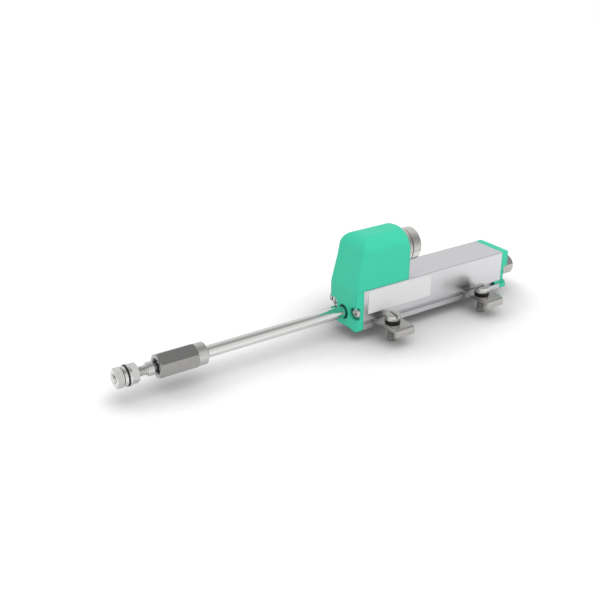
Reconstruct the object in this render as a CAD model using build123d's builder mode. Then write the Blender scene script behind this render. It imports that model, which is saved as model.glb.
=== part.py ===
from build123d import *
import math
import os

os.makedirs("parts", exist_ok=True)

# Linear potentiometer, in millimetres.  X runs along the rod, with the rod's tip
# at minus X.  Y runs across the case and Z is up.  The origin is the middle of
# the case's underside, which is the face that goes on the machine.

# Driving dimensions of the case
stroke = 50.0
case_extra = 38.0
case_len = stroke + case_extra
case_w = 18.0
case_h = 18.0
half_w = case_w / 2
front_x = -case_len / 2
rear_x = case_len / 2
edge_round = 0.4
front_t = 4.1
rear_t = 3.75
profile_x0 = front_x + front_t
profile_x1 = rear_x - rear_t

# Rod
axis_z = 6.5
rod_r = 2.5
rod_out = 66.4
run_gap = 0.05
seat_gap = 0.02
rod_end_r = 1.75
rod_tip_chamfer = 0.4

# Clamp plates and the side grooves that take them
clamp_t = 1.5
clamp_z0 = 2.5
clamp_z1 = clamp_z0 + clamp_t
groove_play = 0.15
groove_z0 = clamp_z0 - groove_play
groove_z1 = clamp_z1 + groove_play
groove_depth = 1.6
groove_floor = half_w - groove_depth
cut_over = 1.0

# Chamber inside the profile: a stem below, wings above, ports for the end screws
stem_wall = 3.4
wing_wall = 1.3
floor_t = 1.4
roof_t = 1.4
stem_half = half_w - stem_wall
wing_half = half_w - wing_wall
chamber_z0 = floor_t
wing_z = 5.4
chamber_z1 = case_h - roof_t
port_inset = 1.9
port_y = half_w - port_inset
port_z = 8.06
port_wall_r = 1.85
port_r = 1.2
track_slot_wall = 1.0
track_slot_drop = 3.4
track_slot_half = half_w - track_slot_wall
track_slot_z = case_h - track_slot_drop
track_slot_h = 1.2

# End screws, the same at the front and the rear
seat_r = 2.75
seat_depth = 2.05
screw_hole_r = 1.4
end_head_r = 2.3
end_head_h = 1.35
end_head_bevel = 0.5
end_shank_r = 1.15
end_shank_len = 9.0
cross_len = 2.8
cross_w = 0.7
cross_depth = 0.8

# Tower of the front housing
tower_len = 28.0
tower_h = 22.0
tower_over = 0.15
tower_lean = 0.2
tower_top = case_h + tower_h
tower_half = half_w + tower_over
corner_low_r = 0.3
corner_r = 1.8
corner_run_min = 0.02
crown_r = 6.3
crown_zone = 10.0
tower_x1 = front_x + tower_len
tower_back_r = 9.35
tower_back_run = 1.6
tower_back_rise = 1.3
cavity_front = 9.0
cavity_wall = 3.2
cavity_side = 2.15
cavity_roof = 3.5
cavity_half = tower_half - cavity_side
cavity_top = tower_top - cavity_roof
cavity_round = 3.5
duct_front = 2.2
duct_half = 4.0
duct_z0 = 11.6
duct_rise = 4.0
duct_z1 = case_h + duct_rise

# Foot, spigot and rod mouth of the front housing
foot_recess = 0.5
foot_inset = 2.6
foot_half = half_w - foot_inset
spigot_len = 6.9
spigot_side_play = 0.6
spigot_lift = 0.2
spigot_half = stem_half - spigot_side_play
spigot_z0 = chamber_z0 + spigot_lift
spigot_z1 = 11.6
mouth_r = 3.15
mouth_depth = 1.7
scraper_t = 0.7
bush_wall = 0.8
bush_r = spigot_half - bush_wall
bush_x0 = front_x + mouth_depth
bush_len = 10.9
bush_x1 = bush_x0 + bush_len

# Rear cap
rear_spigot_len = 2.6
rear_notch_z0 = 3.2
rear_notch_z1 = 10.6
cap_groove_depth = 0.6
tab_len = 3.25
tab_gap = 0.05
tab_t = 1.35
tab_round = 0.8

# Plug connector on the tower
plug_drop = 9.7
plug_z = tower_top - plug_drop
socket_r = 6.6
shell_len = 8.0
shell_r = 7.25
shell_neck_r = 6.9
shell_neck_len = 0.8
shell_chamfer = 0.35
shell_bore_r = 6.3
flange_r = 8.2
flange_t = 0.9
shell_tail = 2.9
insert_r = 5.55
insert_tail = 2.4
insert_face = 3.0
key_w = 1.6
key_h = 0.7
key_len = 3.6
pin_r = 0.6
pin_ring_r = 3.25
pin_step = 60.0
pin_side_count = 2
pin_middle = 90.0
pin_front = 4.4
pin_tail = 6.6

# Track board, its terminals and the leads to the connector
track_t = 1.0
track_gap = 0.1
track_start = 0.9
track_stop = 0.65
terminal_len = 1.6
terminal_w = 1.4
terminal_h = 1.1
lead_pitch = 2.4
lead_r = 0.45
lead_sides = 8
lead_rise_from_front = 3.1
lead_drop_from_front = 14.0
lead_run_rise = 2.0
lead_rise_x = front_x + lead_rise_from_front
lead_drop_x = front_x + lead_drop_from_front
lead_run_z = case_h + lead_run_rise

# Wiper carriage
carriage_gap = 0.9
carriage_len = 10.0
carriage_stem_play = 0.8
carriage_wing_play = 0.4
carriage_floor_play = 0.5
carriage_port_play = 0.4
carriage_drop = 2.1
carriage_stem_half = stem_half - carriage_stem_play
carriage_wing_half = wing_half - carriage_wing_play
carriage_z0 = chamber_z0 + carriage_floor_play
carriage_wing_z = port_z + port_wall_r + carriage_port_play
carriage_z1 = track_slot_z + track_gap - carriage_drop
axial_play = 0.1
clip_t = 0.6
clip_r = 3.0
rod_end_over = 0.8
finger_w = 2.5
finger_y = 2.75
finger_t = 0.25
finger_foot = 3.0
finger_reach = 5.0

# Ball coupling on the rod's tip
coupling_af = 9.2
coupling_len = 21.1
collar_len = 3.9
collar_cone = 0.9
collar_end_r = 3.4
coupling_turn = -27.0
coupling_face_r = 4.5
hex_chamfer_len = 0.75
rod_in_coupling = 7.6
ball_r = 3.3
ball_play = 0.12
ball_depth = 3.6
throat_r = 3.05
throat_chamfer = 0.5
lip_run = 2.2
pocket_len = 5.4
drill_cone = 1.2
cup_start = 1.5
cup_len = 3.8
cup_play = 0.1
seal_bore_r = 2.35
seal_setback = 0.4
seal_t = 0.7

# Ball stud with its nuts and washers
neck_r = 1.5
neck_out = 1.4
shoulder_r = 2.75
shoulder_len = 2.7
shoulder_chamfer = 0.2
stud_r = 2.0
stud_len = 13.6
stud_chamfer = 0.4
nut_af = 7.0
nut_h = 3.2
nut_bore_r = stud_r + seat_gap
nut_chamfer = 0.4
nut_face_r = 3.3
nut_clear = 3.75
plain_washer_r = 4.3
plain_washer_t = 0.9
black_ring_r = 4.2
black_ring_t = 0.65
lock_washer_r = 3.95
lock_washer_t = 1.25
inner_nut_turn = 10.0
outer_nut_turn = -4.0

# Hexagonal plug at the rear
plug_af = 8.0
plug_len = 10.2
plug_collar_r = 3.85
plug_collar_t = 0.35
plug_face_r = 3.6
plug_chamfer_len = 1.0
plug_turn = -18.5
plug_shank_r = 2.45
plug_shank_len = 5.7

# Mounting clamps
clamp_w = 9.8
clamp_from_front = 15.0
clamp_from_rear = 21.2
clamp_reach = 6.0
clamp_overhang = 14.7
clamp_front_x = front_x + clamp_from_front
clamp_rear_x = rear_x - clamp_from_rear
clamp_y = half_w + clamp_reach
clamp_out = half_w + clamp_overhang
clamp_lip_z = 0.5
clamp_bend_r = 1.6
clamp_hole_r = 1.95
tongue_gap = 0.2
lock_ring_r = 3.3
lock_ring_bore_r = 1.9
lock_ring_t = 0.9
lock_ring_split = 0.5
clamp_head_r = 3.2
clamp_head_h = 2.65
clamp_head_bevel = 0.3
clamp_slot_w = 1.1
clamp_slot_depth = 1.1
clamp_shank_r = 1.65
clamp_shank_len = 9.7
clamp_shank_chamfer = 0.35
clamp_neck_r = 1.85
clamp_neck_under = 0.5

# Type label, left bare
label_start = 6.4
label_len = 34.6
label_h = 10.3
label_from_top = 0.6
label_z0 = case_h - label_from_top - label_h
label_t = 0.12


def turn(outline, height=axis_z, mode=Mode.ADD):
    """Revolve (x, radius) points about the line along X at this height."""
    with BuildSketch(Plane.XZ) as section:
        with BuildLine():
            Polyline([(x, height + radius) for x, radius in outline], close=True)
        make_face()
    revolve(section.sketch, axis=Axis((0, 0, height), (1, 0, 0)), mode=mode)


def ring(x0, x1, inner_r, outer_r, height=axis_z, mode=Mode.ADD):
    """Revolve a plain ring, or a disc where the inner radius is 0."""
    turn([(x0, inner_r), (x0, outer_r), (x1, outer_r), (x1, inner_r)], height, mode)


def upright(width, z0, z1, y=0, mode=Mode.ADD):
    """Rectangle in a sketch across the case, centred on y, from z0 up to z1."""
    with Locations((y, z0)):
        Rectangle(width, z1 - z0, align=(Align.CENTER, Align.MIN), mode=mode)


def hexagon_bar(x0, x1, across_flats, angle):
    """Extrude a hexagon along the rod's line from x0 to x1."""
    with BuildSketch(Plane.YZ.offset(x0)) as section:
        with Locations((0, axis_z)):
            RegularPolygon(across_flats / 2, 6, major_radius=False, rotation=angle)
    extrude(section.sketch, amount=x1 - x0)


def save(builder, name):
    """Label a finished piece and write it under its own name."""
    builder.part.label = name
    export_step(builder.part, f"parts/{name}.step")


# Profile: square extruded tube, a clamp groove low on each side, two screw ports
# and a slot across the chamber that holds the track board
with BuildPart() as profile:
    with BuildSketch(Plane.YZ.offset(profile_x0)):
        with Locations((0, case_h / 2)):
            RectangleRounded(case_w, case_h, edge_round)
        upright(2 * wing_half, wing_z, chamber_z1, mode=Mode.SUBTRACT)
        upright(2 * stem_half, chamber_z0, chamber_z1, mode=Mode.SUBTRACT)
        upright(2 * track_slot_half, track_slot_z, track_slot_z + track_slot_h, mode=Mode.SUBTRACT)
        with Locations((-port_y, port_z), (port_y, port_z)):
            Circle(port_wall_r)
            Circle(port_r, mode=Mode.SUBTRACT)
        for side in (-1, 1):
            upright(2 * groove_depth, groove_z0, groove_z1, side * half_w, Mode.SUBTRACT)
    extrude(amount=profile_x1 - profile_x0)
save(profile, "profile")

# Front housing: end plate and a tower that leans back over the case.  Its crown is
# rounded to the front and to both sides.  The tower's front corners are sharp at the
# crease and have grown round where the crown's zone starts.
crown_front = front_x + tower_lean * tower_h
waist_z = tower_top - crown_zone
waist_front = crown_front - tower_lean * crown_zone
cavity_x0 = front_x + cavity_front
cavity_x1 = tower_x1 - cavity_wall
with BuildSketch(Plane.XY.offset(case_h)) as tower_base:
    with Locations((front_x, 0)):
        Rectangle(tower_len, 2 * tower_half, align=(Align.MIN, Align.CENTER))
    fillet(tower_base.vertices().group_by(Axis.X)[0], corner_low_r)
with BuildPart() as front_housing:
    with BuildSketch(Plane.XZ) as crown_side:
        with BuildLine():
            Polyline([(waist_front, waist_z), (crown_front, tower_top), (tower_x1, tower_top),
                      (tower_x1, waist_z)], close=True)
        make_face()
        fillet(crown_side.vertices().group_by(Axis.Y)[-1].sort_by(Axis.X)[0], crown_r)
    extrude(amount=tower_half, both=True)
    with BuildSketch(Plane.YZ.offset(front_x)) as crown_end:
        upright(2 * tower_half, waist_z, tower_top)
        fillet(crown_end.vertices().group_by(Axis.Y)[-1], crown_r)
    extrude(amount=tower_len, mode=Mode.INTERSECT)
    corners = front_housing.edges().filter_by(
        lambda edge: abs(edge.position_at(0.5).Y) > tower_half - crown_r
        and edge.position_at(0.5).X < crown_front + crown_r
        and min(edge.bounding_box().size.X, edge.bounding_box().size.Z) > corner_run_min)
    fillet(corners, corner_r)
    loft([front_housing.faces().sort_by(Axis.Z)[0], tower_base.sketch.face()], ruled=True)

    # The crown's rear corners are turned down about the connector's line
    with BuildSketch(Plane.XY.offset(plug_z)) as back_ring:
        with BuildLine():
            Polyline([(tower_x1 - tower_back_run, tower_back_r + tower_back_rise),
                      (tower_x1, tower_back_r),
                      (tower_x1 + cut_over, tower_back_r),
                      (tower_x1 + cut_over, tower_top),
                      (tower_x1 - tower_back_run, tower_top)], close=True)
        make_face()
    revolve(axis=Axis((0, 0, plug_z), (1, 0, 0)), revolution_arc=180, mode=Mode.SUBTRACT)

    # Wiring chamber, the connector's socket and the duct down to the track
    with BuildSketch(Plane.YZ.offset(cavity_x0)) as chamber:
        upright(2 * cavity_half, case_h, cavity_top)
        fillet(chamber.vertices().group_by(Axis.Y)[-1], cavity_round)
    extrude(amount=cavity_x1 - cavity_x0, mode=Mode.SUBTRACT)
    ring(cavity_x1, tower_x1, 0, socket_r, plug_z, Mode.SUBTRACT)
    with BuildSketch(Plane.XY.offset(case_h)):
        with Locations((front_x + duct_front, 0)):
            Rectangle(cavity_front - duct_front, 2 * duct_half, align=(Align.MIN, Align.CENTER))
    extrude(amount=duct_z1 - case_h, mode=Mode.SUBTRACT)

    # End plate with its raised foot, and the spigot that enters the profile
    with BuildSketch(Plane.YZ.offset(front_x)) as plate:
        upright(case_w, 0, case_h)
        fillet(plate.vertices().group_by(Axis.Y)[0], edge_round)
        upright(2 * foot_half, 0, foot_recess, mode=Mode.SUBTRACT)
    extrude(amount=front_t)
    with BuildSketch(Plane.YZ.offset(profile_x0)):
        upright(2 * spigot_half, spigot_z0, spigot_z1)
    extrude(amount=spigot_len)
    with BuildSketch(Plane.XY.offset(duct_z0)):
        with Locations((front_x + duct_front, 0)):
            Rectangle(front_t - duct_front, 2 * duct_half, align=(Align.MIN, Align.CENTER))
    extrude(amount=case_h - duct_z0, mode=Mode.SUBTRACT)

    # Rod mouth, bush bore, screw seats that break out of the sides, screw holes
    ring(front_x, bush_x0, 0, mouth_r, mode=Mode.SUBTRACT)
    ring(bush_x0, profile_x0 + spigot_len, 0, bush_r + seat_gap, mode=Mode.SUBTRACT)
    with BuildSketch(Plane.YZ.offset(front_x)):
        with Locations((-port_y, port_z), (port_y, port_z)):
            Circle(seat_r)
        for side in (-1, 1):
            upright(2 * port_inset, port_z - seat_r, port_z + seat_r, side * half_w)
    extrude(amount=seat_depth, mode=Mode.SUBTRACT)
    with BuildSketch(Plane.YZ.offset(front_x)):
        with Locations((-port_y, port_z), (port_y, port_z)):
            Circle(screw_hole_r)
    extrude(amount=front_t, mode=Mode.SUBTRACT)
save(front_housing, "front_housing")

# Rear cap: end plate with open screw seats, a spigot, and a tab in each groove
with BuildPart() as rear_cap:
    with BuildSketch(Plane.YZ.offset(profile_x1)):
        with Locations((0, case_h / 2)):
            RectangleRounded(case_w, case_h, edge_round)
        for side in (-1, 1):
            upright(2 * cap_groove_depth, groove_z0, groove_z1, side * half_w, Mode.SUBTRACT)
    extrude(amount=rear_t)
    with BuildSketch(Plane.YZ.offset(profile_x1)):
        upright(2 * spigot_half, spigot_z0, spigot_z1)
    extrude(amount=-rear_spigot_len)
    with BuildSketch(Plane.YZ.offset(rear_x)):
        with Locations((-port_y, port_z), (port_y, port_z)):
            Circle(seat_r)
        for side in (-1, 1):
            upright(2 * port_inset, rear_notch_z0, rear_notch_z1, side * half_w)
    extrude(amount=-seat_depth, mode=Mode.SUBTRACT)
    with BuildSketch(Plane.YZ.offset(rear_x)):
        with Locations((-port_y, port_z), (port_y, port_z)):
            Circle(screw_hole_r)
        with Locations((0, axis_z)):
            Circle(plug_shank_r + seat_gap)
    extrude(amount=-rear_t - rear_spigot_len, mode=Mode.SUBTRACT)
    for side in (-1, 1):
        with BuildSketch(Plane.XZ.offset(side * (groove_floor + tab_gap))) as tab:
            with Locations((profile_x1, groove_z0 + tab_gap)):
                Rectangle(tab_len, groove_z1 - groove_z0 - 2 * tab_gap, align=(Align.MAX, Align.MIN))
            fillet(tab.vertices().group_by(Axis.X)[0], tab_round)
        extrude(amount=side * tab_t)
save(rear_cap, "rear_cap")


def end_screws(name, seat_x, outward):
    """Two pan head screws in the seats of an end plate, heads facing outward."""
    spots = [(-port_y, port_z), (port_y, port_z)]
    with BuildPart() as screws:
        with BuildSketch(Plane.YZ.offset(seat_x)):
            with Locations(spots):
                Circle(end_head_r)
        extrude(amount=outward * end_head_h)
        rims = screws.edges().group_by(Axis.X)[-1 if outward > 0 else 0]
        chamfer(rims, end_head_bevel)
        with BuildSketch(Plane.YZ.offset(seat_x)):
            with Locations(spots):
                Circle(end_shank_r)
        extrude(amount=-outward * end_shank_len)
        with BuildSketch(Plane.YZ.offset(seat_x + outward * end_head_h)):
            with Locations(spots):
                Rectangle(cross_len, cross_w)
                Rectangle(cross_w, cross_len)
        extrude(amount=-outward * cross_depth, mode=Mode.SUBTRACT)
    save(screws, name)


end_screws("front_screws", front_x + seat_depth, -1)
end_screws("rear_screws", rear_x - seat_depth, 1)

# Bush that guides the rod, and the scraper ring in front of it
with BuildPart() as rod_bush:
    ring(bush_x0, bush_x1, rod_r + run_gap, bush_r)
save(rod_bush, "rod_bush")

with BuildPart() as rod_scraper:
    ring(bush_x0 - scraper_t, bush_x0, rod_r + run_gap, mouth_r)
save(rod_scraper, "rod_scraper")

# Plug connector: flanged metal shell, insulating insert with a key, five pins
shell_x1 = tower_x1 + shell_len
neck_x0 = tower_x1 + flange_t
neck_x1 = neck_x0 + shell_neck_len
insert_x1 = tower_x1 + insert_face
pin_turns = range(-pin_side_count, pin_side_count + 1)
pin_angles = [math.radians(pin_middle + turns * pin_step) for turns in pin_turns]
pin_spots = [(pin_ring_r * math.cos(angle), plug_z + pin_ring_r * math.sin(angle)) for angle in pin_angles]
with BuildPart() as connector_shell:
    turn([(tower_x1 - shell_tail, insert_r + seat_gap), (tower_x1 - shell_tail, socket_r - seat_gap),
          (tower_x1, socket_r - seat_gap), (tower_x1, flange_r), (neck_x0, flange_r), (neck_x0, shell_neck_r),
          (neck_x1, shell_neck_r), (neck_x1, shell_r), (shell_x1 - shell_chamfer, shell_r),
          (shell_x1, shell_r - shell_chamfer), (shell_x1, shell_bore_r), (insert_x1, shell_bore_r),
          (insert_x1, insert_r + seat_gap)], plug_z)
    with BuildSketch(Plane.YZ.offset(insert_x1)):
        with Locations((0, plug_z + shell_bore_r + seat_gap)):
            Rectangle(key_w, key_h, align=(Align.CENTER, Align.MAX))
    extrude(amount=key_len)
save(connector_shell, "connector_shell")

with BuildPart() as connector_insert:
    ring(tower_x1 - insert_tail, insert_x1, 0, insert_r, plug_z)
    with BuildSketch(Plane.YZ.offset(insert_x1)):
        with Locations(pin_spots):
            Circle(pin_r + seat_gap)
    extrude(amount=-insert_face - insert_tail, mode=Mode.SUBTRACT)
save(connector_insert, "connector_insert")

with BuildPart() as connector_pins:
    with BuildSketch(Plane.YZ.offset(tower_x1 - pin_tail)):
        with Locations(pin_spots):
            Circle(pin_r)
    extrude(amount=pin_tail + insert_face + pin_front)
save(connector_pins, "connector_pins")

# Track board in its slot under the roof, with three terminals at the front
track_x0 = profile_x0 + track_start
track_x1 = profile_x1 - track_stop
track_z0 = track_slot_z + track_gap
track_w = 2 * (track_slot_half - track_gap)
with BuildPart() as track_board:
    with BuildSketch(Plane.XY.offset(track_z0)):
        with Locations((track_x0, 0)):
            Rectangle(track_x1 - track_x0, track_w, align=(Align.MIN, Align.CENTER))
    extrude(amount=track_t)
save(track_board, "track_board")

with BuildPart() as track_terminals:
    with BuildSketch(Plane.XY.offset(track_z0)):
        with Locations((track_x0 + terminal_len, 0)):
            with GridLocations(0, lead_pitch, 1, 3):
                Rectangle(terminal_len, terminal_w)
    extrude(amount=-terminal_h)
save(track_terminals, "track_terminals")

# Leads from the terminals through the duct to the three upper pins
lead_start_x = track_x0 + terminal_len / 2
lead_start_z = track_z0 - terminal_h / 2
lead_end_x = tower_x1 - pin_tail
with BuildPart() as lead_wires:
    for row in (-1, 0, 1):
        y = row * lead_pitch
        pin_y, pin_z = pin_spots[pin_side_count - row]
        with BuildLine() as route:
            Polyline((lead_start_x, y, lead_start_z), (lead_rise_x, y, lead_start_z),
                     (lead_rise_x, y, lead_run_z), (lead_drop_x, pin_y, lead_run_z),
                     (lead_drop_x, pin_y, pin_z), (lead_end_x, pin_y, pin_z))
        with BuildSketch(Plane(origin=route.line @ 0, z_dir=route.line % 0)):
            RegularPolygon(lead_r, lead_sides)
        sweep(transition=Transition.RIGHT)
save(lead_wires, "lead_wires")

# Wiper carriage: a T block that rides on the screw ports, with two spring fingers
carriage_x0 = bush_x1 + carriage_gap
carriage_x1 = carriage_x0 + carriage_len
with BuildPart() as wiper_carriage:
    with BuildSketch(Plane.YZ.offset(carriage_x0)):
        upright(2 * carriage_stem_half, carriage_z0, carriage_z1)
        upright(2 * carriage_wing_half, carriage_wing_z, carriage_z1)
        with Locations((0, axis_z)):
            Circle(rod_end_r + run_gap, mode=Mode.SUBTRACT)
    extrude(amount=carriage_len)
save(wiper_carriage, "wiper_carriage")

finger_x = carriage_x0 + (carriage_len - finger_foot - finger_reach) / 2
finger_top = track_z0 - track_gap
with BuildPart() as wiper_contacts:
    for row in (-1, 1):
        with BuildSketch(Plane.XZ.offset(row * finger_y)):
            with BuildLine():
                Polyline([(finger_x, carriage_z1), (finger_x + finger_foot, carriage_z1),
                          (finger_x + finger_foot + finger_reach, finger_top - finger_t),
                          (finger_x + finger_foot + finger_reach, finger_top),
                          (finger_x + finger_foot, carriage_z1 + finger_t),
                          (finger_x, carriage_z1 + finger_t)], close=True)
            make_face()
        extrude(amount=finger_w / 2, both=True)
save(wiper_contacts, "wiper_contacts")

# Rod with a stepped inner end, held to the carriage by a clip
coupling_x1 = front_x - rod_out
coupling_x0 = coupling_x1 - coupling_len
rod_x0 = coupling_x1 - rod_in_coupling
shoulder_x = carriage_x0 - axial_play
clip_x0 = carriage_x1 + axial_play
rod_x1 = clip_x0 + clip_t + rod_end_over
with BuildPart() as rod:
    turn([(rod_x0, 0), (rod_x0, rod_r - rod_tip_chamfer), (rod_x0 + rod_tip_chamfer, rod_r),
          (shoulder_x, rod_r), (shoulder_x, rod_end_r), (rod_x1 - rod_tip_chamfer, rod_end_r),
          (rod_x1, rod_end_r - rod_tip_chamfer), (rod_x1, 0)])
save(rod, "rod")

with BuildPart() as rod_clip:
    ring(clip_x0, clip_x0 + clip_t, rod_end_r, clip_r)
save(rod_clip, "rod_clip")

# Ball coupling: hexagonal sleeve with a turned collar, a throat and a ball pocket
hex_x1 = coupling_x1 - collar_cone - collar_len
coupling_corner = coupling_af / math.sqrt(3)
collar_r = coupling_af / 2 - run_gap
ball_x = coupling_x0 + ball_depth
pocket_r = ball_r + ball_play
with BuildPart() as ball_coupling:
    hexagon_bar(coupling_x0, coupling_x1, coupling_af, coupling_turn)
    turn([(coupling_x0, 0), (coupling_x0, coupling_face_r), (coupling_x0 + hex_chamfer_len, coupling_corner),
          (hex_x1 - hex_chamfer_len, coupling_corner), (hex_x1, collar_r),
          (coupling_x1 - collar_cone, collar_r), (coupling_x1, collar_end_r), (coupling_x1, 0)],
         mode=Mode.INTERSECT)
    ring(rod_x0, coupling_x1, 0, rod_r + seat_gap, mode=Mode.SUBTRACT)
    turn([(ball_x, pocket_r), (ball_x + pocket_len, pocket_r), (ball_x + pocket_len + drill_cone, 0),
          (coupling_x0, 0), (coupling_x0, throat_r + throat_chamfer),
          (coupling_x0 + throat_chamfer, throat_r), (ball_x - lip_run, throat_r)], mode=Mode.SUBTRACT)
save(ball_coupling, "ball_coupling")

seal_x0 = coupling_x0 + seal_setback
with BuildPart() as coupling_seal:
    ring(seal_x0, seal_x0 + seal_t, seal_bore_r, throat_r)
save(coupling_seal, "coupling_seal")

# Seat cup behind the ball
cup_x0 = ball_x + cup_start
cup_x1 = cup_x0 + cup_len
cup_lip_r = math.sqrt(pocket_r ** 2 - cup_start ** 2)
cup_mid = math.radians(60)
with BuildPart() as ball_seat:
    with BuildSketch(Plane.XZ):
        with BuildLine():
            Polyline((ball_x + pocket_r, axis_z), (cup_x1, axis_z), (cup_x1, axis_z + pocket_r - cup_play),
                     (cup_x0, axis_z + pocket_r - cup_play), (cup_x0, axis_z + cup_lip_r))
            ThreePointArc((cup_x0, axis_z + cup_lip_r),
                          (ball_x + pocket_r * math.sin(cup_mid), axis_z + pocket_r * math.cos(cup_mid)),
                          (ball_x + pocket_r, axis_z))
        make_face()
    revolve(axis=Axis((0, 0, axis_z), (1, 0, 0)))
save(ball_seat, "ball_seat")

# Ball stud: ball, neck, shoulder and threaded end
neck_x0 = ball_x - math.sqrt(ball_r ** 2 - neck_r ** 2)
shoulder_x1 = coupling_x0 - neck_out
shoulder_x0 = shoulder_x1 - shoulder_len
stud_x0 = shoulder_x0 - stud_len
with BuildPart() as ball_stud:
    with BuildSketch(Plane.XZ):
        with BuildLine():
            ThreePointArc((ball_x + ball_r, axis_z), (ball_x, axis_z + ball_r), (neck_x0, axis_z + neck_r))
            Polyline((neck_x0, axis_z + neck_r), (shoulder_x1, axis_z + neck_r),
                     (shoulder_x1, axis_z + shoulder_r - shoulder_chamfer),
                     (shoulder_x1 - shoulder_chamfer, axis_z + shoulder_r),
                     (shoulder_x0 + shoulder_chamfer, axis_z + shoulder_r),
                     (shoulder_x0, axis_z + shoulder_r - shoulder_chamfer), (shoulder_x0, axis_z + stud_r),
                     (stud_x0 + stud_chamfer, axis_z + stud_r), (stud_x0, axis_z + stud_r - stud_chamfer),
                     (stud_x0, axis_z), (ball_x + ball_r, axis_z))
        make_face()
    revolve(axis=Axis((0, 0, axis_z), (1, 0, 0)))
save(ball_stud, "ball_stud")

# Nuts and washers on the stud, from the shoulder outwards
inner_nut_x0 = shoulder_x0 - nut_clear - nut_h
plain_washer_x0 = inner_nut_x0 - plain_washer_t
black_ring_x0 = plain_washer_x0 - black_ring_t
lock_washer_x0 = black_ring_x0 - lock_washer_t
outer_nut_x0 = lock_washer_x0 - nut_h


def nut(name, x0, angle):
    """Hexagon nut, chamfered on both faces."""
    x1 = x0 + nut_h
    corner = nut_af / math.sqrt(3)
    with BuildPart() as piece:
        hexagon_bar(x0, x1, nut_af, angle)
        turn([(x0, 0), (x0, nut_face_r), (x0 + nut_chamfer, corner), (x1 - nut_chamfer, corner),
              (x1, nut_face_r), (x1, 0)], mode=Mode.INTERSECT)
        ring(x0, x1, 0, nut_bore_r, mode=Mode.SUBTRACT)
    save(piece, name)


def stud_ring(name, x0, thickness, outer_r):
    """Flat ring on the stud."""
    with BuildPart() as piece:
        ring(x0, x0 + thickness, nut_bore_r, outer_r)
    save(piece, name)


nut("inner_nut", inner_nut_x0, inner_nut_turn)
stud_ring("plain_washer", plain_washer_x0, plain_washer_t, plain_washer_r)
stud_ring("black_ring", black_ring_x0, black_ring_t, black_ring_r)
stud_ring("lock_washer", lock_washer_x0, lock_washer_t, lock_washer_r)
nut("outer_nut", outer_nut_x0, outer_nut_turn)

# Hexagonal plug screwed into the rear cap
plug_x1 = rear_x + plug_len
plug_corner = plug_af / math.sqrt(3)
with BuildPart() as rear_plug:
    hexagon_bar(rear_x, plug_x1, plug_af, plug_turn)
    turn([(rear_x, 0), (rear_x, plug_collar_r), (rear_x + plug_collar_t, plug_collar_r),
          (rear_x + plug_collar_t, plug_corner), (plug_x1 - plug_chamfer_len, plug_corner),
          (plug_x1, plug_face_r), (plug_x1, 0)], mode=Mode.INTERSECT)
    ring(rear_x - plug_shank_len, rear_x, 0, plug_shank_r)
save(rear_plug, "rear_plug")


def clamp_plate(name, x, side):
    """Bent plate with its tongue in the groove and its lip turned down."""
    tongue_y = side * (groove_floor + tongue_gap)
    lip_y = side * (clamp_out - clamp_t)
    with BuildPart() as plate:
        with BuildSketch(Plane.YZ.offset(x - clamp_w / 2)) as bent:
            with BuildLine():
                Polyline([(side * clamp_out, clamp_z1), (tongue_y, clamp_z1), (tongue_y, clamp_z0),
                          (lip_y, clamp_z0), (lip_y, clamp_lip_z), (side * clamp_out, clamp_lip_z)], close=True)
            make_face()
            outer = bent.vertices().sort_by(lambda corner: side * corner.X + corner.Y)[-1]
            fillet(outer, clamp_bend_r)
        extrude(amount=clamp_w)
        with BuildSketch(Plane.XY.offset(clamp_z0)):
            with Locations((x, side * clamp_y)):
                Circle(clamp_hole_r)
        extrude(amount=clamp_t, mode=Mode.SUBTRACT)
    save(plate, name)


def clamp_ring(name, x, side, split_angle):
    """Split lock ring under the screw's head."""
    with BuildPart() as ring:
        with BuildSketch(Plane.XY.offset(clamp_z1)):
            with Locations((x, side * clamp_y)):
                Circle(lock_ring_r)
                Circle(lock_ring_bore_r, mode=Mode.SUBTRACT)
                Rectangle(lock_ring_r + cut_over, lock_ring_split, rotation=split_angle,
                          align=(Align.MIN, Align.CENTER), mode=Mode.SUBTRACT)
        extrude(amount=lock_ring_t)
    save(ring, name)


def clamp_screw(name, x, side, slot_angle):
    """Slotted cheese head screw, with a plain neck through ring and plate."""
    head_z0 = clamp_z1 + lock_ring_t
    head_z1 = head_z0 + clamp_head_h
    with BuildPart() as screw:
        with BuildSketch(Plane.XY.offset(head_z0)):
            with Locations((x, side * clamp_y)):
                Circle(clamp_head_r)
        extrude(amount=clamp_head_h)
        chamfer(screw.edges().group_by(Axis.Z)[-1], clamp_head_bevel)
        with BuildSketch(Plane.XY.offset(head_z0)):
            with Locations((x, side * clamp_y)):
                Circle(clamp_shank_r)
        extrude(amount=-clamp_shank_len)
        chamfer(screw.edges().group_by(Axis.Z)[0], clamp_shank_chamfer)
        with BuildSketch(Plane.XY.offset(head_z0)):
            with Locations((x, side * clamp_y)):
                Circle(clamp_neck_r)
        extrude(amount=clamp_z0 - clamp_neck_under - head_z0)
        with BuildSketch(Plane.XY.offset(head_z1)):
            with Locations((x, side * clamp_y)):
                Rectangle(2 * (clamp_head_r + cut_over), clamp_slot_w, rotation=slot_angle)
        extrude(amount=-clamp_slot_depth, mode=Mode.SUBTRACT)
    save(screw, name)


# Four clamps: name, place along the case, side of the case, angle of the slot
clamps = [("front_left", clamp_front_x, -1, 83), ("rear_left", clamp_rear_x, -1, 0),
          ("front_right", clamp_front_x, 1, 40), ("rear_right", clamp_rear_x, 1, 115)]
for place, x, side, angle in clamps:
    clamp_plate(f"clamp_plate_{place}", x, side)
    clamp_ring(f"clamp_ring_{place}", x, side, angle + 90)
    clamp_screw(f"clamp_screw_{place}", x, side, angle)

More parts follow.
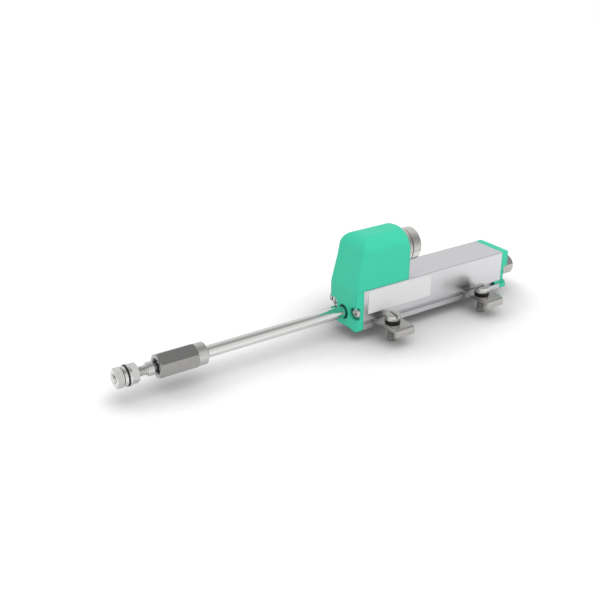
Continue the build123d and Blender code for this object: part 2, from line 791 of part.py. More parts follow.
# Type label on the left side, bare
with BuildPart() as type_label:
    with BuildSketch(Plane.XZ.offset(half_w)):
        with Locations((front_x + label_start, label_z0)):
            Rectangle(label_len, label_h, align=(Align.MIN, Align.MIN))
    extrude(amount=label_t)
save(type_label, "type_label")
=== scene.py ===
import math

import bmesh
import bpy
from mathutils import Matrix, Vector


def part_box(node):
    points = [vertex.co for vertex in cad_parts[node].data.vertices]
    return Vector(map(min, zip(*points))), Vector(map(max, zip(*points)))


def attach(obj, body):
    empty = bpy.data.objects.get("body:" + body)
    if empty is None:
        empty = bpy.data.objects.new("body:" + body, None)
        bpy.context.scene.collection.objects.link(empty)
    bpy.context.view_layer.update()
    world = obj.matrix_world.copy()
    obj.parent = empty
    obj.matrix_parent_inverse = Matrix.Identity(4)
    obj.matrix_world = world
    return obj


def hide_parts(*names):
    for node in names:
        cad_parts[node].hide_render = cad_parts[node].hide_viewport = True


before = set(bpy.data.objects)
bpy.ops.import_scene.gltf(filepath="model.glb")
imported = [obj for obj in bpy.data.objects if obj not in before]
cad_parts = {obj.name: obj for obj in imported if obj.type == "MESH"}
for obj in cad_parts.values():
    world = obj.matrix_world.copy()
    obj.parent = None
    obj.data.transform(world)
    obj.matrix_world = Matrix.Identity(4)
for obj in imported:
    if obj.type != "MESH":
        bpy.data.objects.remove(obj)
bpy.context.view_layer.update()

MM = 0.001
PLACES = ("front_left", "front_right", "rear_left", "rear_right")


def corners(node):
    """Lowest and highest corner of a node, in millimetres to a hundredth."""
    return [[round(value / MM, 2) for value in corner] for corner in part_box(node)]


def middle(node):
    """Centre of a node's box, in millimetres to a hundredth."""
    return [round((low + high) / 2, 2) for low, high in zip(*corners(node))]


# Ball stud and coupling, along X, in millimetres like all that follows
AXIS_Z = middle("rod")[2]
STUD_TIP_X = corners("ball_stud")[0][0]
STUD_R, STUD_TIP_R, STUD_TIP_CUT = 2.0, 1.5, 0.4
STUD_THREAD_X = STUD_TIP_X + 2.0
BALL_R, NECK_R, SHOULDER_R = 3.3, 1.5, 2.75
BALL_X = corners("ball_stud")[1][0] - BALL_R
NECK_X = BALL_X - 5.0
SHOULDER_X = NECK_X - 2.7
NECK_FLARE_X, NECK_FLARE_R = 0.2, 0.15
COLLAR_X, MOUTH_X = -115.2, -131.3

# Threads
THREAD_PITCH = 0.7
THREAD_DEPTH = 0.34
THREAD_STEPS = 8
FLANK_SLOPE, CREST_FLAT = 1.3, 0.15

# Plug shell, along X
PLUG_Z = middle("connector_shell")[2]
SHELL_X = corners("connector_shell")[1][0]
PLUG_X, FLANGE_X, STEP_X, GROOVE_X = -16.0, -15.1, -13.2, -12.2
INSERT_X = -13.0
FLANGE_R, STEP_R, GROOVE_R, SHELL_R, BORE_R, INSERT_R = 8.2, 7.75, 6.8, 7.25, 6.3, 5.6
MOUTH_CUT = 0.1

# Clamp screws, along Z
SCREW_TIP_Z = corners("clamp_screw_front_left")[0][2]
HEAD_TOP_Z = corners("clamp_screw_front_left")[1][2]
HEAD_Z = HEAD_TOP_Z - 2.65
HEAD_R = 3.2
SCREW_TIP_R = 1.5
SCREW_THREAD_Z, SCREW_THREAD_END_Z, SCREW_THREAD_R = -4.35, 1.95, 1.98
SCREW_NECK_Z, SCREW_NECK_R = 2.0, 1.84
SLOT_REACH, SLOT_HALF, SLOT_DEPTH = 4.5, 0.55, 1.1
SLOT_TURN = {"front_left": 83, "rear_left": 0, "front_right": 56, "rear_right": 115}

# How far the cutters of slot and cross stand past the heads
SLOT_PAST, CROSS_PAST = 1.0, 0.15

# End screws, along X from the seat of the head
END_Y = 7.05
END_Z = middle("front_screws")[2]
END_SEAT_X = 41.95
END_HEAD_R, END_HEAD_H = 2.28, 1.25
END_DOME = ((0.87, END_HEAD_R - 0.18), (1.04, 1.72), (1.16, 1.18), (1.23, 0.6), (END_HEAD_H, 0))
END_SIDE_H, END_SHOULDER_H, END_SHOULDER_CUT = 0.5, 0.7, 0.05
END_SHANK_R, END_TIP_R, END_LENGTH, END_TIP_H = 1.13, 0.9, 9.0, 0.3
CROSS_FLOOR, CROSS_MOUTH = (0.75, 0.28), (1.6, 0.52)
CROSS_LOW = 0.1

# Sides and steps of the turned pieces, and the angle that stays a crisp corner
STUD_SIDES, SCREW_SIDES, END_SIDES, SHELL_SIDES = 48, 56, 48, 96
BALL_STEPS, RIM_STEPS, STEP_STEPS = 14, 5, 3
SHARP_DEGREES = 32

# Materials: what counts as a worn edge or as a hollow for painted shade, and the shares of the tints
EDGE_WORN, EDGE_CLEAN = 0.84, 0.98
HOLLOW_SHADE_DEEP, HOLLOW_SHADE_OPEN = 0.30, 0.80
NORMAL_LEAN = 0.45
DARKER, BRIGHTER = 0.82, 1.3
SHADE_BELOW_Z, SHADE_BELOW_SHARE = 2.2, 0.8
MOUTH_SHARE = 0.35

# Floor, in metres; its white glow fades and its painted shadow deepens where the paper sees less sky
FLOOR_REACH = 3.0
FLOOR_LIFT, LIFT_SKY = 0.30, (0.80, 1.0)
FLOOR_PAINTED_SHADOW, PAINTED_SHADOW_SKY = 0.31, (0.30, 0.97)
FLOOR_SHADE = 0.12

# Room: brightness by direction, from -1 in front of the case, over 0 overhead, to 1 behind it
GLOSS_BANDS = (
    (-1.0, 0.86), (-0.93, 1.0), (-0.78, 0.82), (-0.52, 0.50),
    (-0.2, 0.40), (0.17, 0.60), (0.5, 0.84), (0.95, 0.90),
)
SOFT_BANDS = ((-1.0, 0.90), (-0.40, 0.95), (0.0, 0.66), (1.0, 0.72))

# Lamp and camera in metres, and the lens in millimetres, fitted to the photograph's straight edges
LAMP_PLACE, LAMP_TARGET = (-0.05, -0.30, 0.9), (-0.03, 0, 0)
LAMP_SIDE, LAMP_POWER = 1.0, 3.4
CAMERA_PLACE, CAMERA_TARGET = (-0.25161, -0.27653, 0.16953), (-0.06614, 0, 0.01749)
CAMERA_LENS, CAMERA_SENSOR, CAMERA_NEAR = 53.73, 36, 0.01

# The sockets of a colour mix
MIX_FACTOR, MIX_BELOW, MIX_ABOVE, MIX_RESULT = 0, 6, 7, 2


# Shader helpers

class Nodes:
    """A node tree with short ways to add nodes and link them."""

    def __init__(self, tree):
        self.tree = tree

    def node(self, kind, **settings):
        made = self.tree.nodes.new(kind)
        for key, value in settings.items():
            setattr(made, key, value)
        return made

    def link(self, output, socket):
        self.tree.links.new(output, socket)

    def feed(self, socket, value):
        """Link an output to a socket, or give it a plain value."""
        if isinstance(value, bpy.types.NodeSocket):
            self.link(value, socket)
        else:
            socket.default_value = value

    @staticmethod
    def set(node, **values):
        for key, value in values.items():
            node.inputs[key].default_value = value

    def math(self, operation, first, second=None, clamp=False):
        made = self.node("ShaderNodeMath", operation=operation, use_clamp=clamp)
        self.feed(made.inputs[0], first)
        if second is not None:
            self.feed(made.inputs[1], second)
        return made.outputs[0]

    def spread(self, value, low, high, start=0.3, end=0.7):
        """Stretch a value from start..end to low..high. The defaults suit a noise."""
        made = self.node("ShaderNodeMapRange")
        self.set(made, **{"From Min": start, "From Max": end, "To Min": low, "To Max": high})
        self.link(value, made.inputs["Value"])
        return made.outputs[0]

    def mix(self, factor, below, above):
        """Blend from one colour to another by factor."""
        made = self.node("ShaderNodeMix", data_type="RGBA")
        self.feed(made.inputs[MIX_BELOW], below)
        self.feed(made.inputs[MIX_ABOVE], above)
        self.feed(made.inputs[MIX_FACTOR], factor)
        return made.outputs[MIX_RESULT]


class Shader(Nodes):
    """A Principled material built up from object coordinates in millimetres."""

    def __init__(self, name, color, roughness, metallic=0.0, specular=0.5):
        self.mat = bpy.data.materials.new(name)
        self.mat.use_nodes = True
        super().__init__(self.mat.node_tree)
        self.bsdf = self.tree.nodes["Principled BSDF"]
        self.set(self.bsdf, **{"Base Color": (*color, 1), "Roughness": roughness})
        self.set(self.bsdf, **{"Metallic": metallic, "Specular IOR Level": specular})
        self.color = self.bsdf.inputs["Base Color"].default_value[:]
        self.normal = None
        coord = self.node("ShaderNodeTexCoord")
        self.where = self.node("ShaderNodeMapping")
        self.where.inputs["Scale"].default_value = (1 / MM, 1 / MM, 1 / MM)
        self.link(coord.outputs["Object"], self.where.inputs["Vector"])

    def noise(self, size, detail=3.0, stretch=(1, 1, 1)):
        """Noise whose grain is about size millimetres, drawn out along an axis."""
        where = self.node("ShaderNodeMapping")
        where.inputs["Scale"].default_value = [1 / (size * factor) for factor in stretch]
        self.link(self.where.outputs[0], where.inputs["Vector"])
        made = self.node("ShaderNodeTexNoise")
        self.set(made, Scale=1.0, Detail=detail)
        self.link(where.outputs[0], made.inputs["Vector"])
        return made.outputs["Fac"]

    def edges(self, radius):
        """1 along convex or concave edges. It rounds their normals too, by radius millimetres."""
        bevel = self.node("ShaderNodeBevel", samples=6)
        bevel.inputs["Radius"].default_value = radius * MM
        flat = self.node("ShaderNodeNewGeometry")
        dot = self.node("ShaderNodeVectorMath", operation="DOT_PRODUCT")
        self.link(bevel.outputs[0], dot.inputs[0])
        self.link(flat.outputs["Normal"], dot.inputs[1])
        self.normal = bevel.outputs[0]
        return self.spread(dot.outputs["Value"], 1.0, 0.0, EDGE_WORN, EDGE_CLEAN)

    def hollow_shade(self, reach, most):
        """Painted shade: up to most in narrow recesses, by how much sky each spot sees within reach
        millimetres.
        """
        sky = self.node("ShaderNodeAmbientOcclusion", samples=12)
        sky.inputs["Distance"].default_value = reach * MM
        return self.spread(sky.outputs["AO"], most, 0.0, HOLLOW_SHADE_DEEP, HOLLOW_SHADE_OPEN)

    def beyond(self, axis, edge):
        """1 where the surface lies past a place along an axis, else 0."""
        split = self.node("ShaderNodeSeparateXYZ")
        self.link(self.where.outputs[0], split.inputs[0])
        return self.math("GREATER_THAN", split.outputs[axis], edge)

    def tint(self, factor, color):
        """Lay a colour over what is there, by factor."""
        self.color = self.mix(factor, self.color, (*color, 1))
        self.link(self.color, self.bsdf.inputs["Base Color"])

    def mottle(self, pattern, most, color):
        """Lay a colour over the high spots of a noise, up to most."""
        self.tint(self.spread(pattern, 0.0, most), color)

    def wear(self, edges, most, color):
        """Lay a colour along the edges, up to most."""
        self.tint(self.math("MULTIPLY", edges, most), color)

    def rough(self, base, ripple=None):
        """Roughness from one pattern, with a second one added to it."""
        if ripple is not None:
            base = self.math("ADD", base, ripple)
        self.link(base, self.bsdf.inputs["Roughness"])

    def bump(self, height, depth):
        """Relief whose full height is depth millimetres."""
        made = self.node("ShaderNodeBump")
        self.set(made, Strength=1.0, Distance=depth * MM)
        self.link(height, made.inputs["Height"])
        if self.normal is not None:
            self.link(self.normal, made.inputs["Normal"])
        self.normal = made.outputs[0]

    def lean(self, amount):
        """Tip the normals a little upwards."""
        tipped = self.node("ShaderNodeVectorMath", operation="ADD")
        tipped.inputs[1].default_value = (0, 0, amount)
        self.link(self.normal, tipped.inputs[0])
        unit = self.node("ShaderNodeVectorMath", operation="NORMALIZE")
        self.link(tipped.outputs[0], unit.inputs[0])
        self.normal = unit.outputs[0]

    def done(self):
        if self.normal is not None:
            self.link(self.normal, self.bsdf.inputs["Normal"])
        return self.mat


# Materials

def anodised_aluminium():
    """Anodised profile: fine lines along it, cloudy patches and paler edges."""
    skin = Shader("anodised_aluminium", (0.64, 0.64, 0.655), 0.28, 0.92)
    edges = skin.edges(0.25)
    lines = skin.noise(0.10, 4, (180, 1, 1))
    grain = skin.noise(0.05, 2)
    cloud = skin.noise(9.0)
    skin.mottle(cloud, 0.22, (0.60, 0.60, 0.63))
    skin.mottle(lines, 0.04, (0.56, 0.56, 0.58))
    skin.wear(edges, 0.5, (0.86, 0.86, 0.87))
    skin.rough(skin.spread(lines, 0.26, 0.30), skin.spread(grain, -0.03, 0.03))
    skin.bump(skin.math("ADD", lines, skin.math("MULTIPLY", grain, 1.2)), 0.0009)
    return skin.done()


def moulded_green():
    """Spark-eroded green plastic, with painted shade in its recesses. It bounces grey, so the paper
    stays white.
    """
    skin = Shader("moulded_green", (0.047, 0.625, 0.403), 0.46, specular=0.27)
    edges = skin.edges(1.2)
    spark = skin.noise(0.16)
    cloud = skin.noise(6.0, 4)
    flow = skin.noise(2.2, 3, (1, 1, 3))
    skin.mottle(cloud, 0.35, (0.038, 0.585, 0.38))
    skin.mottle(flow, 0.16, (0.06, 0.66, 0.44))
    skin.wear(edges, 0.16, (0.11, 0.70, 0.49))
    # Painted shade: recesses darkened by how little sky they see
    skin.tint(skin.hollow_shade(2.5, 0.65), (0.008, 0.20, 0.12))
    skin.tint(skin.node("ShaderNodeLightPath").outputs["Is Diffuse Ray"], (0.42, 0.42, 0.42))
    skin.rough(skin.spread(spark, 0.42, 0.54), skin.spread(cloud, -0.03, 0.03))
    skin.bump(spark, 0.010)
    return skin.done()


def turned_steel(name, color, roughness, line=0.05, depth=0.002, stretch=(0.02, 1, 1)):
    """Machined metal: fine turning lines, blotches and brighter edges."""
    skin = Shader(name, color, roughness, 1.0)
    edges = skin.edges(0.12)
    lines = skin.noise(line, 3, stretch)
    cloud = skin.noise(2.5)
    dark = tuple(part * DARKER for part in color)
    bright = tuple(min(1.0, part * BRIGHTER) for part in color)
    skin.mottle(cloud, 0.35, dark)
    skin.mottle(lines, 0.18, dark)
    skin.wear(edges, 0.6, bright)
    skin.rough(skin.spread(lines, roughness * 0.8, roughness * 1.25), skin.spread(cloud, -0.03, 0.03))
    skin.bump(lines, depth)
    return skin


def drawn_steel():
    """Hexagonal bar: dark drawn flats, brighter where the lathe cut the collar and the mouth."""
    skin = turned_steel("coupling_metal", (0.36, 0.355, 0.35), 0.30, 0.07, 0.003, (30, 1, 1))
    collar = skin.beyond("X", COLLAR_X)
    mouth = skin.math("SUBTRACT", MOUTH_SHARE, skin.beyond("X", MOUTH_X), clamp=True)
    cut = skin.math("ADD", collar, mouth)
    rings = skin.noise(0.05, 3, (0.05, 1, 1))
    skin.tint(skin.math("MULTIPLY", cut, skin.spread(rings, 0.7, 0.95)), (0.59, 0.585, 0.575))
    return skin


def screw_steel():
    """Plated screw steel, with painted shade on the threads below the clamp plates."""
    skin = turned_steel("screw_zinc", (0.60, 0.59, 0.575), 0.20, 0.08, stretch=(1, 1, 0.03))
    # Painted shade: the shanks darken below the clamp plates, where the plates shade them
    below = skin.math("SUBTRACT", SHADE_BELOW_SHARE, skin.beyond("Z", SHADE_BELOW_Z), clamp=True)
    skin.tint(below, (0.30, 0.30, 0.285))
    return skin


def plug_nickel():
    """Nickel plate, with painted shade in the shell's groove."""
    skin = turned_steel("nickel_plate", (0.63, 0.62, 0.60), 0.16)
    # Painted shade: the groove is tinted darker where shade falls in it
    groove = skin.math("SUBTRACT", skin.beyond("X", STEP_X), skin.beyond("X", GROOVE_X))
    skin.tint(groove, (0.52, 0.515, 0.50))
    skin.lean(NORMAL_LEAN)
    return skin


def polished_rod():
    """Ground and polished rod with faint lines along it."""
    skin = Shader("polished_rod", (0.72, 0.72, 0.71), 0.10, 1.0)
    lines = skin.noise(0.03, 3, (0.8, 1, 1))
    drawn = skin.noise(0.06, 3, (260, 1, 1))
    cloud = skin.noise(3.0, 3, (4, 1, 1))
    skin.mottle(drawn, 0.16, (0.60, 0.60, 0.59))
    skin.mottle(cloud, 0.10, (0.62, 0.62, 0.60))
    skin.rough(skin.spread(drawn, 0.07, 0.15), skin.spread(cloud, -0.015, 0.015))
    skin.bump(lines, 0.0006)
    return skin.done()


def blackened_steel():
    """Black oxide with bare metal showing a little along the edges."""
    skin = Shader("blackened_steel", (0.022, 0.022, 0.024), 0.42, 0.6)
    edges = skin.edges(0.10)
    grain = skin.noise(0.12)
    skin.mottle(grain, 0.5, (0.035, 0.034, 0.034))
    skin.wear(edges, 0.35, (0.16, 0.155, 0.15))
    skin.rough(skin.spread(grain, 0.34, 0.5))
    skin.bump(grain, 0.003)
    return skin.done()


def soft_black(name, roughness):
    """Black rubber or plastic with a fine grain."""
    skin = Shader(name, (0.018, 0.018, 0.019), roughness)
    grain = skin.noise(0.14)
    skin.mottle(grain, 0.6, (0.030, 0.030, 0.031))
    skin.rough(skin.spread(grain, roughness - 0.06, roughness + 0.08))
    skin.bump(grain, 0.006)
    return skin.done()


def label_film():
    """Bare label film, greyer along its edges."""
    skin = Shader("label_film", (0.77, 0.77, 0.78), 0.36, specular=0.45)
    edges = skin.edges(0.2)
    fibre = skin.noise(0.25, 4)
    cloud = skin.noise(7.0)
    skin.mottle(cloud, 0.4, (0.74, 0.74, 0.755))
    skin.mottle(fibre, 0.12, (0.64, 0.64, 0.65))
    skin.wear(edges, 0.5, (0.60, 0.60, 0.61))
    skin.rough(skin.spread(fibre, 0.32, 0.44))
    skin.bump(skin.math("ADD", fibre, skin.math("MULTIPLY", cloud, 2.0)), 0.004)
    return skin.done()


def inner_plastic(name, color, roughness=0.5):
    """Plain plastic for the pieces inside."""
    skin = Shader(name, color, roughness)
    grain = skin.noise(0.2)
    cloud = skin.noise(3.0, 2)
    skin.mottle(cloud, 0.4, tuple(part * 0.86 for part in color))
    skin.rough(skin.spread(grain, roughness - 0.08, roughness + 0.08))
    skin.bump(grain, 0.006)
    return skin.done()


zinc = turned_steel("bright_zinc", (0.69, 0.69, 0.68), 0.17, stretch=(0.2, 1, 1)).done()
end_zinc = turned_steel("end_screw_zinc", (0.60, 0.59, 0.575), 0.22).done()
clamp_zinc = screw_steel().done()
sheet_metal = turned_steel("stainless_sheet", (0.49, 0.48, 0.455), 0.17, 0.06, stretch=(1, 30, 1)).done()
nickel = plug_nickel().done()
brass = turned_steel("gold_contact", (0.83, 0.62, 0.27), 0.20).done()
bronze = turned_steel("sintered_bronze", (0.48, 0.33, 0.18), 0.42, 0.12, stretch=(1, 1, 1)).done()

LOOKS = {
    "profile": anodised_aluminium(),
    "front_housing": moulded_green(),
    "rear_plug": turned_steel("plug_steel", (0.50, 0.495, 0.48), 0.20).done(),
    "front_screws": end_zinc,
    "rear_screws": end_zinc,
    "connector_shell": nickel,
    "connector_insert": soft_black("insert_black", 0.48),
    "connector_pins": brass,
    "rod_bush": bronze,
    "rod_scraper": soft_black("scraper_rubber", 0.55),
    "track_board": soft_black("track_layer", 0.35),
    "track_terminals": zinc,
    "lead_wires": inner_plastic("lead_sleeve", (0.45, 0.05, 0.04), 0.4),
    "type_label": label_film(),
    "wiper_carriage": inner_plastic("carriage_plastic", (0.72, 0.70, 0.64)),
    "wiper_contacts": brass,
    "rod": polished_rod(),
    "rod_clip": blackened_steel(),
    "ball_coupling": drawn_steel().done(),
    "ball_seat": inner_plastic("seat_plastic", (0.66, 0.66, 0.60)),
    "ball_stud": turned_steel("stud_steel", (0.62, 0.62, 0.61), 0.20).done(),
    "inner_nut": zinc,
}
LOOKS["rear_cap"] = LOOKS["front_housing"]
LOOKS["coupling_seal"] = LOOKS["rod_scraper"]
LOOKS["black_ring"] = LOOKS["rod_clip"]
for node in ("outer_nut", "plain_washer", "lock_washer"):
    LOOKS[node] = zinc
for place in PLACES:
    LOOKS[f"clamp_plate_{place}"] = sheet_metal
    LOOKS[f"clamp_ring_{place}"] = LOOKS["rod_clip"]
    LOOKS[f"clamp_screw_{place}"] = clamp_zinc

for name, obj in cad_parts.items():
    obj.data.materials.clear()
    obj.data.materials.append(LOOKS[name])


# Outlines of turned pieces, as (along, radius) points

def arc(centre, radius, start, end, steps):
    """Points of an arc, angles in degrees from the along direction."""
    along, out = centre
    turns = [math.radians(start + (end - start) * i / steps) for i in range(steps + 1)]
    return [(along + radius * math.cos(turn), max(0.0, out + radius * math.sin(turn))) for turn in turns]


def rise(along, radius, cut):
    """Chamfered corner where a face turns into a cylinder."""
    return [(along, radius - cut), (along + cut, radius)]


def fall(along, radius, cut):
    """Chamfered corner where a cylinder turns into a face."""
    return [(along - cut, radius), (along, radius - cut)]


def rounded(along, radius, rim, steps=RIM_STEPS):
    """Rounded corner where a cylinder turns into a face."""
    return arc((along - rim, radius - rim), rim, 90, 0, steps)


# Meshes

def thread_cut(along, turn, pitch):
    """Share of a right-hand thread's depth: 0 on the crest, 1 in the root."""
    flank = abs(((along / pitch - turn) % 1.0) * 2 - 1)
    return min(1.0, max(0.0, flank * FLANK_SLOPE - CREST_FLAT))


def thread_rows(outline, pitch):
    """The outline as (along, radius, thread depth) rows, with rows added along each threaded run."""
    rows = []
    for (along, radius, *depth), (after, *_) in zip(outline, outline[1:]):
        rows.append((along, radius, 0.0))
        if not depth:
            continue
        count = round(abs(after - along) / pitch * THREAD_STEPS)
        for i in range(1, count):
            fade = min(1.0, i / THREAD_STEPS, (count - i) / THREAD_STEPS)
            rows.append((along + (after - along) * i / count, radius, depth[0] * fade))
    along, radius = outline[-1]
    rows.append((along, radius, 0.0))
    return rows


def lathe(outline, sides, pitch=1.0):
    """Turned mesh about Z from (along, radius) points in millimetres. A third number is the depth of
    a thread on the run that follows the point."""
    solid = bmesh.new()
    rings = []
    for along, radius, depth in thread_rows(outline, pitch):
        if radius == 0:
            rings.append([solid.verts.new((0, 0, along * MM))])
            continue
        ring = []
        for k in range(sides):
            reach = (radius - depth * thread_cut(along, k / sides, pitch)) * MM
            angle = math.tau * (k / sides)
            ring.append(solid.verts.new((reach * math.cos(angle), reach * math.sin(angle), along * MM)))
        rings.append(ring)
    for low, high in zip(rings, rings[1:]):
        for k in range(sides):
            n = (k + 1) % sides
            around = [low[k % len(low)], low[n % len(low)], high[n % len(high)], high[k % len(high)]]
            solid.faces.new(list(dict.fromkeys(around)))
    bmesh.ops.recalc_face_normals(solid, faces=solid.faces)
    return solid


def prism(lower, upper, low, high):
    """Closed mesh between two outlines of the same number of points, in millimetres."""
    solid = bmesh.new()
    bottom = [solid.verts.new((x * MM, y * MM, low * MM)) for x, y in lower]
    top = [solid.verts.new((x * MM, y * MM, high * MM)) for x, y in upper]
    count = len(lower)
    for k in range(count):
        n = (k + 1) % count
        solid.faces.new((bottom[k], bottom[n], top[n], top[k]))
    solid.faces.new(bottom)
    solid.faces.new(top)
    bmesh.ops.recalc_face_normals(solid, faces=solid.faces)
    return solid


def shape(name, solid):
    """Object made of a mesh under construction, which is used up."""
    data = bpy.data.meshes.new(name)
    solid.to_mesh(data)
    solid.free()
    made = bpy.data.objects.new(name, data)
    bpy.context.scene.collection.objects.link(made)
    return made


def carve(made, recess):
    """Cut a recess out of a piece."""
    cutter = shape("cutter", recess)
    step = made.modifiers.new("carve", "BOOLEAN")
    step.operation = "DIFFERENCE"
    step.solver = "EXACT"
    step.object = cutter
    bpy.context.view_layer.update()
    seen = made.evaluated_get(bpy.context.evaluated_depsgraph_get())
    carved = bpy.data.meshes.new_from_object(seen)
    made.modifiers.clear()
    made.data = carved
    bpy.data.objects.remove(cutter)


def place_piece(made, matrix, node, body, look):
    """Set a piece in the frame in place of a node, with smooth faces and crisp corners."""
    made.data.transform(matrix)
    made.data.shade_smooth()
    made.data.set_sharp_from_angle(angle=math.radians(SHARP_DEGREES))
    made.data.materials.clear()
    made.data.materials.append(look)
    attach(made, body)
    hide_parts(node)


def facing(x, y, z, outward):
    """Local Z turned along X, forwards or back, at a place in millimetres."""
    turned = Matrix.Rotation(math.radians(90 * outward), 4, "Y")
    return Matrix.Translation((x * MM, y * MM, z * MM)) @ turned


# Pieces that stand for plainer solids

def ball_stud():
    """Ball, neck, turned shoulder and a threaded end with a chamfered tip."""
    start = 180 - math.degrees(math.asin(NECK_R / BALL_R))
    outline = [
        (STUD_TIP_X, 0),
        (STUD_TIP_X, STUD_TIP_R),
        (STUD_TIP_X + STUD_TIP_CUT, STUD_R),
        (STUD_THREAD_X, STUD_R, THREAD_DEPTH),
        (SHOULDER_X, STUD_R),
        *rise(SHOULDER_X, SHOULDER_R, cut=0.2),
        *fall(NECK_X, SHOULDER_R, cut=0.25),
        (NECK_X, NECK_R + NECK_FLARE_R),
        (NECK_X + NECK_FLARE_X, NECK_R),
        *arc((BALL_X, 0), BALL_R, start, 0, BALL_STEPS),
    ]
    piece = shape("threaded_ball_stud", lathe(outline, STUD_SIDES, THREAD_PITCH))
    place_piece(piece, facing(0, 0, AXIS_Z, 1), "ball_stud", "stud", LOOKS["ball_stud"])


def slot_outline(degrees):
    """Outline of a screwdriver slot, turned about the screw."""
    turn = math.radians(degrees)
    cos, sin = math.cos(turn), math.sin(turn)
    bar = [
        (-SLOT_REACH, -SLOT_HALF),
        (SLOT_REACH, -SLOT_HALF),
        (SLOT_REACH, SLOT_HALF),
        (-SLOT_REACH, SLOT_HALF),
    ]
    return [(x * cos - y * sin, x * sin + y * cos) for x, y in bar]


def clamp_screw(place):
    """Cheese head with a rounded rim and a slot, plain neck, threaded shank."""
    outline = [
        (SCREW_TIP_Z, 0),
        (SCREW_TIP_Z, SCREW_TIP_R),
        (SCREW_THREAD_Z, SCREW_THREAD_R, THREAD_DEPTH),
        (SCREW_THREAD_END_Z, SCREW_THREAD_R),
        (SCREW_NECK_Z, SCREW_NECK_R),
        (HEAD_Z, SCREW_NECK_R),
        *rise(HEAD_Z, HEAD_R, cut=0.15),
        *rounded(HEAD_TOP_Z, HEAD_R, rim=0.45),
        (HEAD_TOP_Z, 0),
    ]
    piece = shape(f"slotted_screw_{place}", lathe(outline, SCREW_SIDES, THREAD_PITCH))
    bar = slot_outline(SLOT_TURN[place])
    carve(piece, prism(bar, bar, HEAD_TOP_Z - SLOT_DEPTH, HEAD_TOP_Z + SLOT_PAST))
    node = f"clamp_screw_{place}"
    x, y, _ = middle(node)
    place_piece(piece, Matrix.Translation((x * MM, y * MM, 0)), node, f"clamp_{place}", clamp_zinc)


def cross(reach, half):
    """Outline of a cross with arms of a reach and half width."""
    points = [(reach, -half), (reach, half), (half, half)]
    for _ in range(3):
        points += [(-y, x) for x, y in points[-3:]]
    return points


def end_screw(node, outward, y, side):
    """Pan head with a tapered cross recess."""
    outline = [
        (-END_LENGTH, 0),
        (-END_LENGTH, END_TIP_R),
        (END_TIP_H - END_LENGTH, END_SHANK_R),
        (0, END_SHANK_R),
        *rise(0, END_HEAD_R, cut=0.1),
        (END_SIDE_H, END_HEAD_R),
        (END_SHOULDER_H, END_HEAD_R - END_SHOULDER_CUT),
        *END_DOME,
    ]
    piece = shape(f"pan_head_{node}_{side}", lathe(outline, END_SIDES))
    carve(piece, prism(cross(*CROSS_FLOOR), cross(*CROSS_MOUTH), CROSS_LOW, END_HEAD_H + CROSS_PAST))
    place_piece(piece, facing(outward * END_SEAT_X, y, END_Z, outward), node, "case", end_zinc)


def connector_shell():
    """Plug shell with a stepped flange against the tower, a groove behind it and rounded rims."""
    outline = [
        (PLUG_X, INSERT_R),
        *rise(PLUG_X, FLANGE_R, cut=0.1),
        *fall(FLANGE_X, FLANGE_R, cut=0.2),
        (FLANGE_X, STEP_R),
        *rounded(STEP_X, STEP_R, rim=0.25, steps=STEP_STEPS),
        (STEP_X, GROOVE_R),
        (GROOVE_X, GROOVE_R),
        *rise(GROOVE_X, SHELL_R, cut=0.15),
        *rounded(SHELL_X, SHELL_R, rim=0.4),
        (SHELL_X, BORE_R + MOUTH_CUT),
        (SHELL_X - MOUTH_CUT, BORE_R),
        (INSERT_X, BORE_R),
        (INSERT_X, INSERT_R),
        (PLUG_X, INSERT_R),
    ]
    piece = shape("plug_shell", lathe(outline, SHELL_SIDES))
    place_piece(piece, facing(0, 0, PLUG_Z, 1), "connector_shell", "case", nickel)


ball_stud()
for place in PLACES:
    clamp_screw(place)
for y, side in ((-END_Y, "left"), (END_Y, "right")):
    end_screw("front_screws", -1, y, side)
    end_screw("rear_screws", 1, y, side)
connector_shell()


# Floor, room, lamp and camera

def paper():
    """White paper that keeps the shadows of lamp and room, glows white to camera and gloss where it sees
    open sky, and carries a painted shadow near the object.
    """
    skin = Shader("floor_paper", (0.86, 0.86, 0.86), 0.95, specular=0.0)
    seen = skin.node("ShaderNodeLightPath")
    direct = skin.math("MAXIMUM", seen.outputs["Is Camera Ray"], seen.outputs["Is Glossy Ray"])
    direct = skin.math("MAXIMUM", direct, seen.outputs["Is Transmission Ray"])
    sky = skin.node("ShaderNodeAmbientOcclusion", samples=16)
    sky.inputs["Distance"].default_value = FLOOR_SHADE
    # The white glow fades near the object, which paints its shadow in
    lift = skin.spread(sky.outputs["AO"], 0.0, FLOOR_LIFT, *LIFT_SKY)
    # Painted shadow: the paper darkens by how little sky it sees
    skin.tint(skin.spread(sky.outputs["AO"], FLOOR_PAINTED_SHADOW, 0.0, *PAINTED_SHADOW_SKY), (0, 0, 0))
    skin.bsdf.inputs["Emission Color"].default_value = (1, 1, 1, 1)
    skin.link(skin.math("MULTIPLY", direct, lift), skin.bsdf.inputs["Emission Strength"])
    return skin.done()


def lay_floor():
    """Level sheet of paper under the tips of the clamp screws."""
    sheet = bmesh.new()
    bmesh.ops.create_grid(sheet, x_segments=1, y_segments=1, size=FLOOR_REACH)
    floor = shape("floor", sheet)
    floor.location = (0, 0, SCREW_TIP_Z * MM)
    floor.data.materials.append(paper())


def bands(room, across, stops):
    """Colour ramp over the directions from -1 to 1."""
    ramp = room.node("ShaderNodeValToRGB")
    while len(ramp.color_ramp.elements) < len(stops):
        ramp.color_ramp.elements.new(0.5)
    for element, (place, level) in zip(ramp.color_ramp.elements, stops):
        element.position = (place + 1) / 2
        element.color = (level, level, level, 1)
    room.link(across, ramp.inputs[0])
    return ramp.outputs[0]


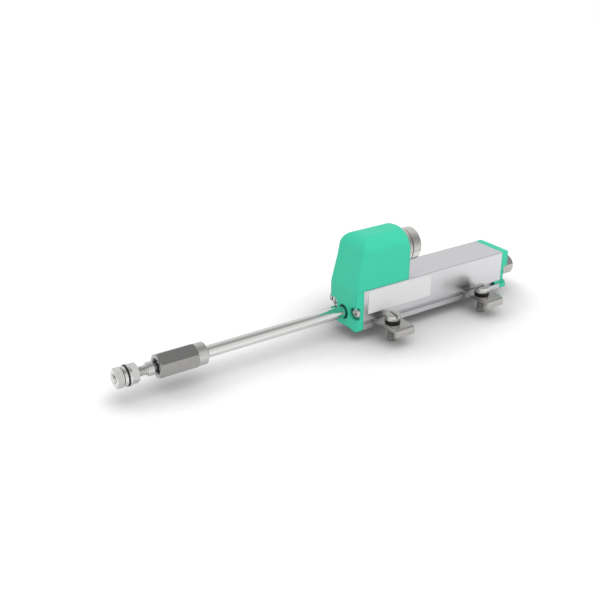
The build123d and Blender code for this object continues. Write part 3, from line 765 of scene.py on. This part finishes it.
def studio():
    """Pale room with a soft panel in front, a dark gap overhead and a backdrop, white to the camera."""
    world = bpy.data.worlds.new("studio")
    bpy.context.scene.world = world
    world.use_nodes = True
    room = Nodes(world.node_tree)
    coord = room.node("ShaderNodeTexCoord")
    flat = room.node("ShaderNodeVectorMath", operation="MULTIPLY")
    flat.inputs[1].default_value = (0, 1, 1)
    unit = room.node("ShaderNodeVectorMath", operation="NORMALIZE")
    split = room.node("ShaderNodeSeparateXYZ")
    room.link(coord.outputs["Generated"], flat.inputs[0])
    room.link(flat.outputs[0], unit.inputs[0])
    room.link(unit.outputs[0], split.inputs[0])
    across = room.spread(split.outputs["Y"], 0.0, 1.0, -1.0, 1.0)
    glossy = bands(room, across, GLOSS_BANDS)
    diffuse = bands(room, across, SOFT_BANDS)
    seen = room.node("ShaderNodeLightPath")
    light = room.mix(seen.outputs["Is Glossy Ray"], diffuse, glossy)
    white = room.mix(seen.outputs["Is Camera Ray"], light, (1, 1, 1, 1))
    background = room.tree.nodes["Background"]
    room.link(white, background.inputs["Color"])
    background.inputs["Strength"].default_value = 1.0


def aimed(name, data, place, target):
    """Lamp or camera at a place, turned towards a target."""
    made = bpy.data.objects.new(name, data)
    made.location = place
    made.rotation_euler = (Vector(target) - Vector(place)).to_track_quat("-Z", "Y").to_euler()
    bpy.context.scene.collection.objects.link(made)
    return made


def key_lamp():
    """Large soft lamp overhead that doesn't show in gloss."""
    data = bpy.data.lights.new("key", "AREA")
    data.shape = "RECTANGLE"
    data.size = LAMP_SIDE
    data.size_y = LAMP_SIDE
    data.energy = LAMP_POWER
    lamp = aimed("key", data, LAMP_PLACE, LAMP_TARGET)
    lamp.visible_glossy = False


def photo_camera():
    """Camera of the photograph."""
    data = bpy.data.cameras.new("camera")
    data.lens = CAMERA_LENS
    data.sensor_width = CAMERA_SENSOR
    data.clip_start = CAMERA_NEAR
    bpy.context.scene.camera = aimed("camera", data, CAMERA_PLACE, CAMERA_TARGET)


lay_floor()
studio()
key_lamp()
photo_camera()
bpy.context.scene.view_settings.view_transform = "Standard"
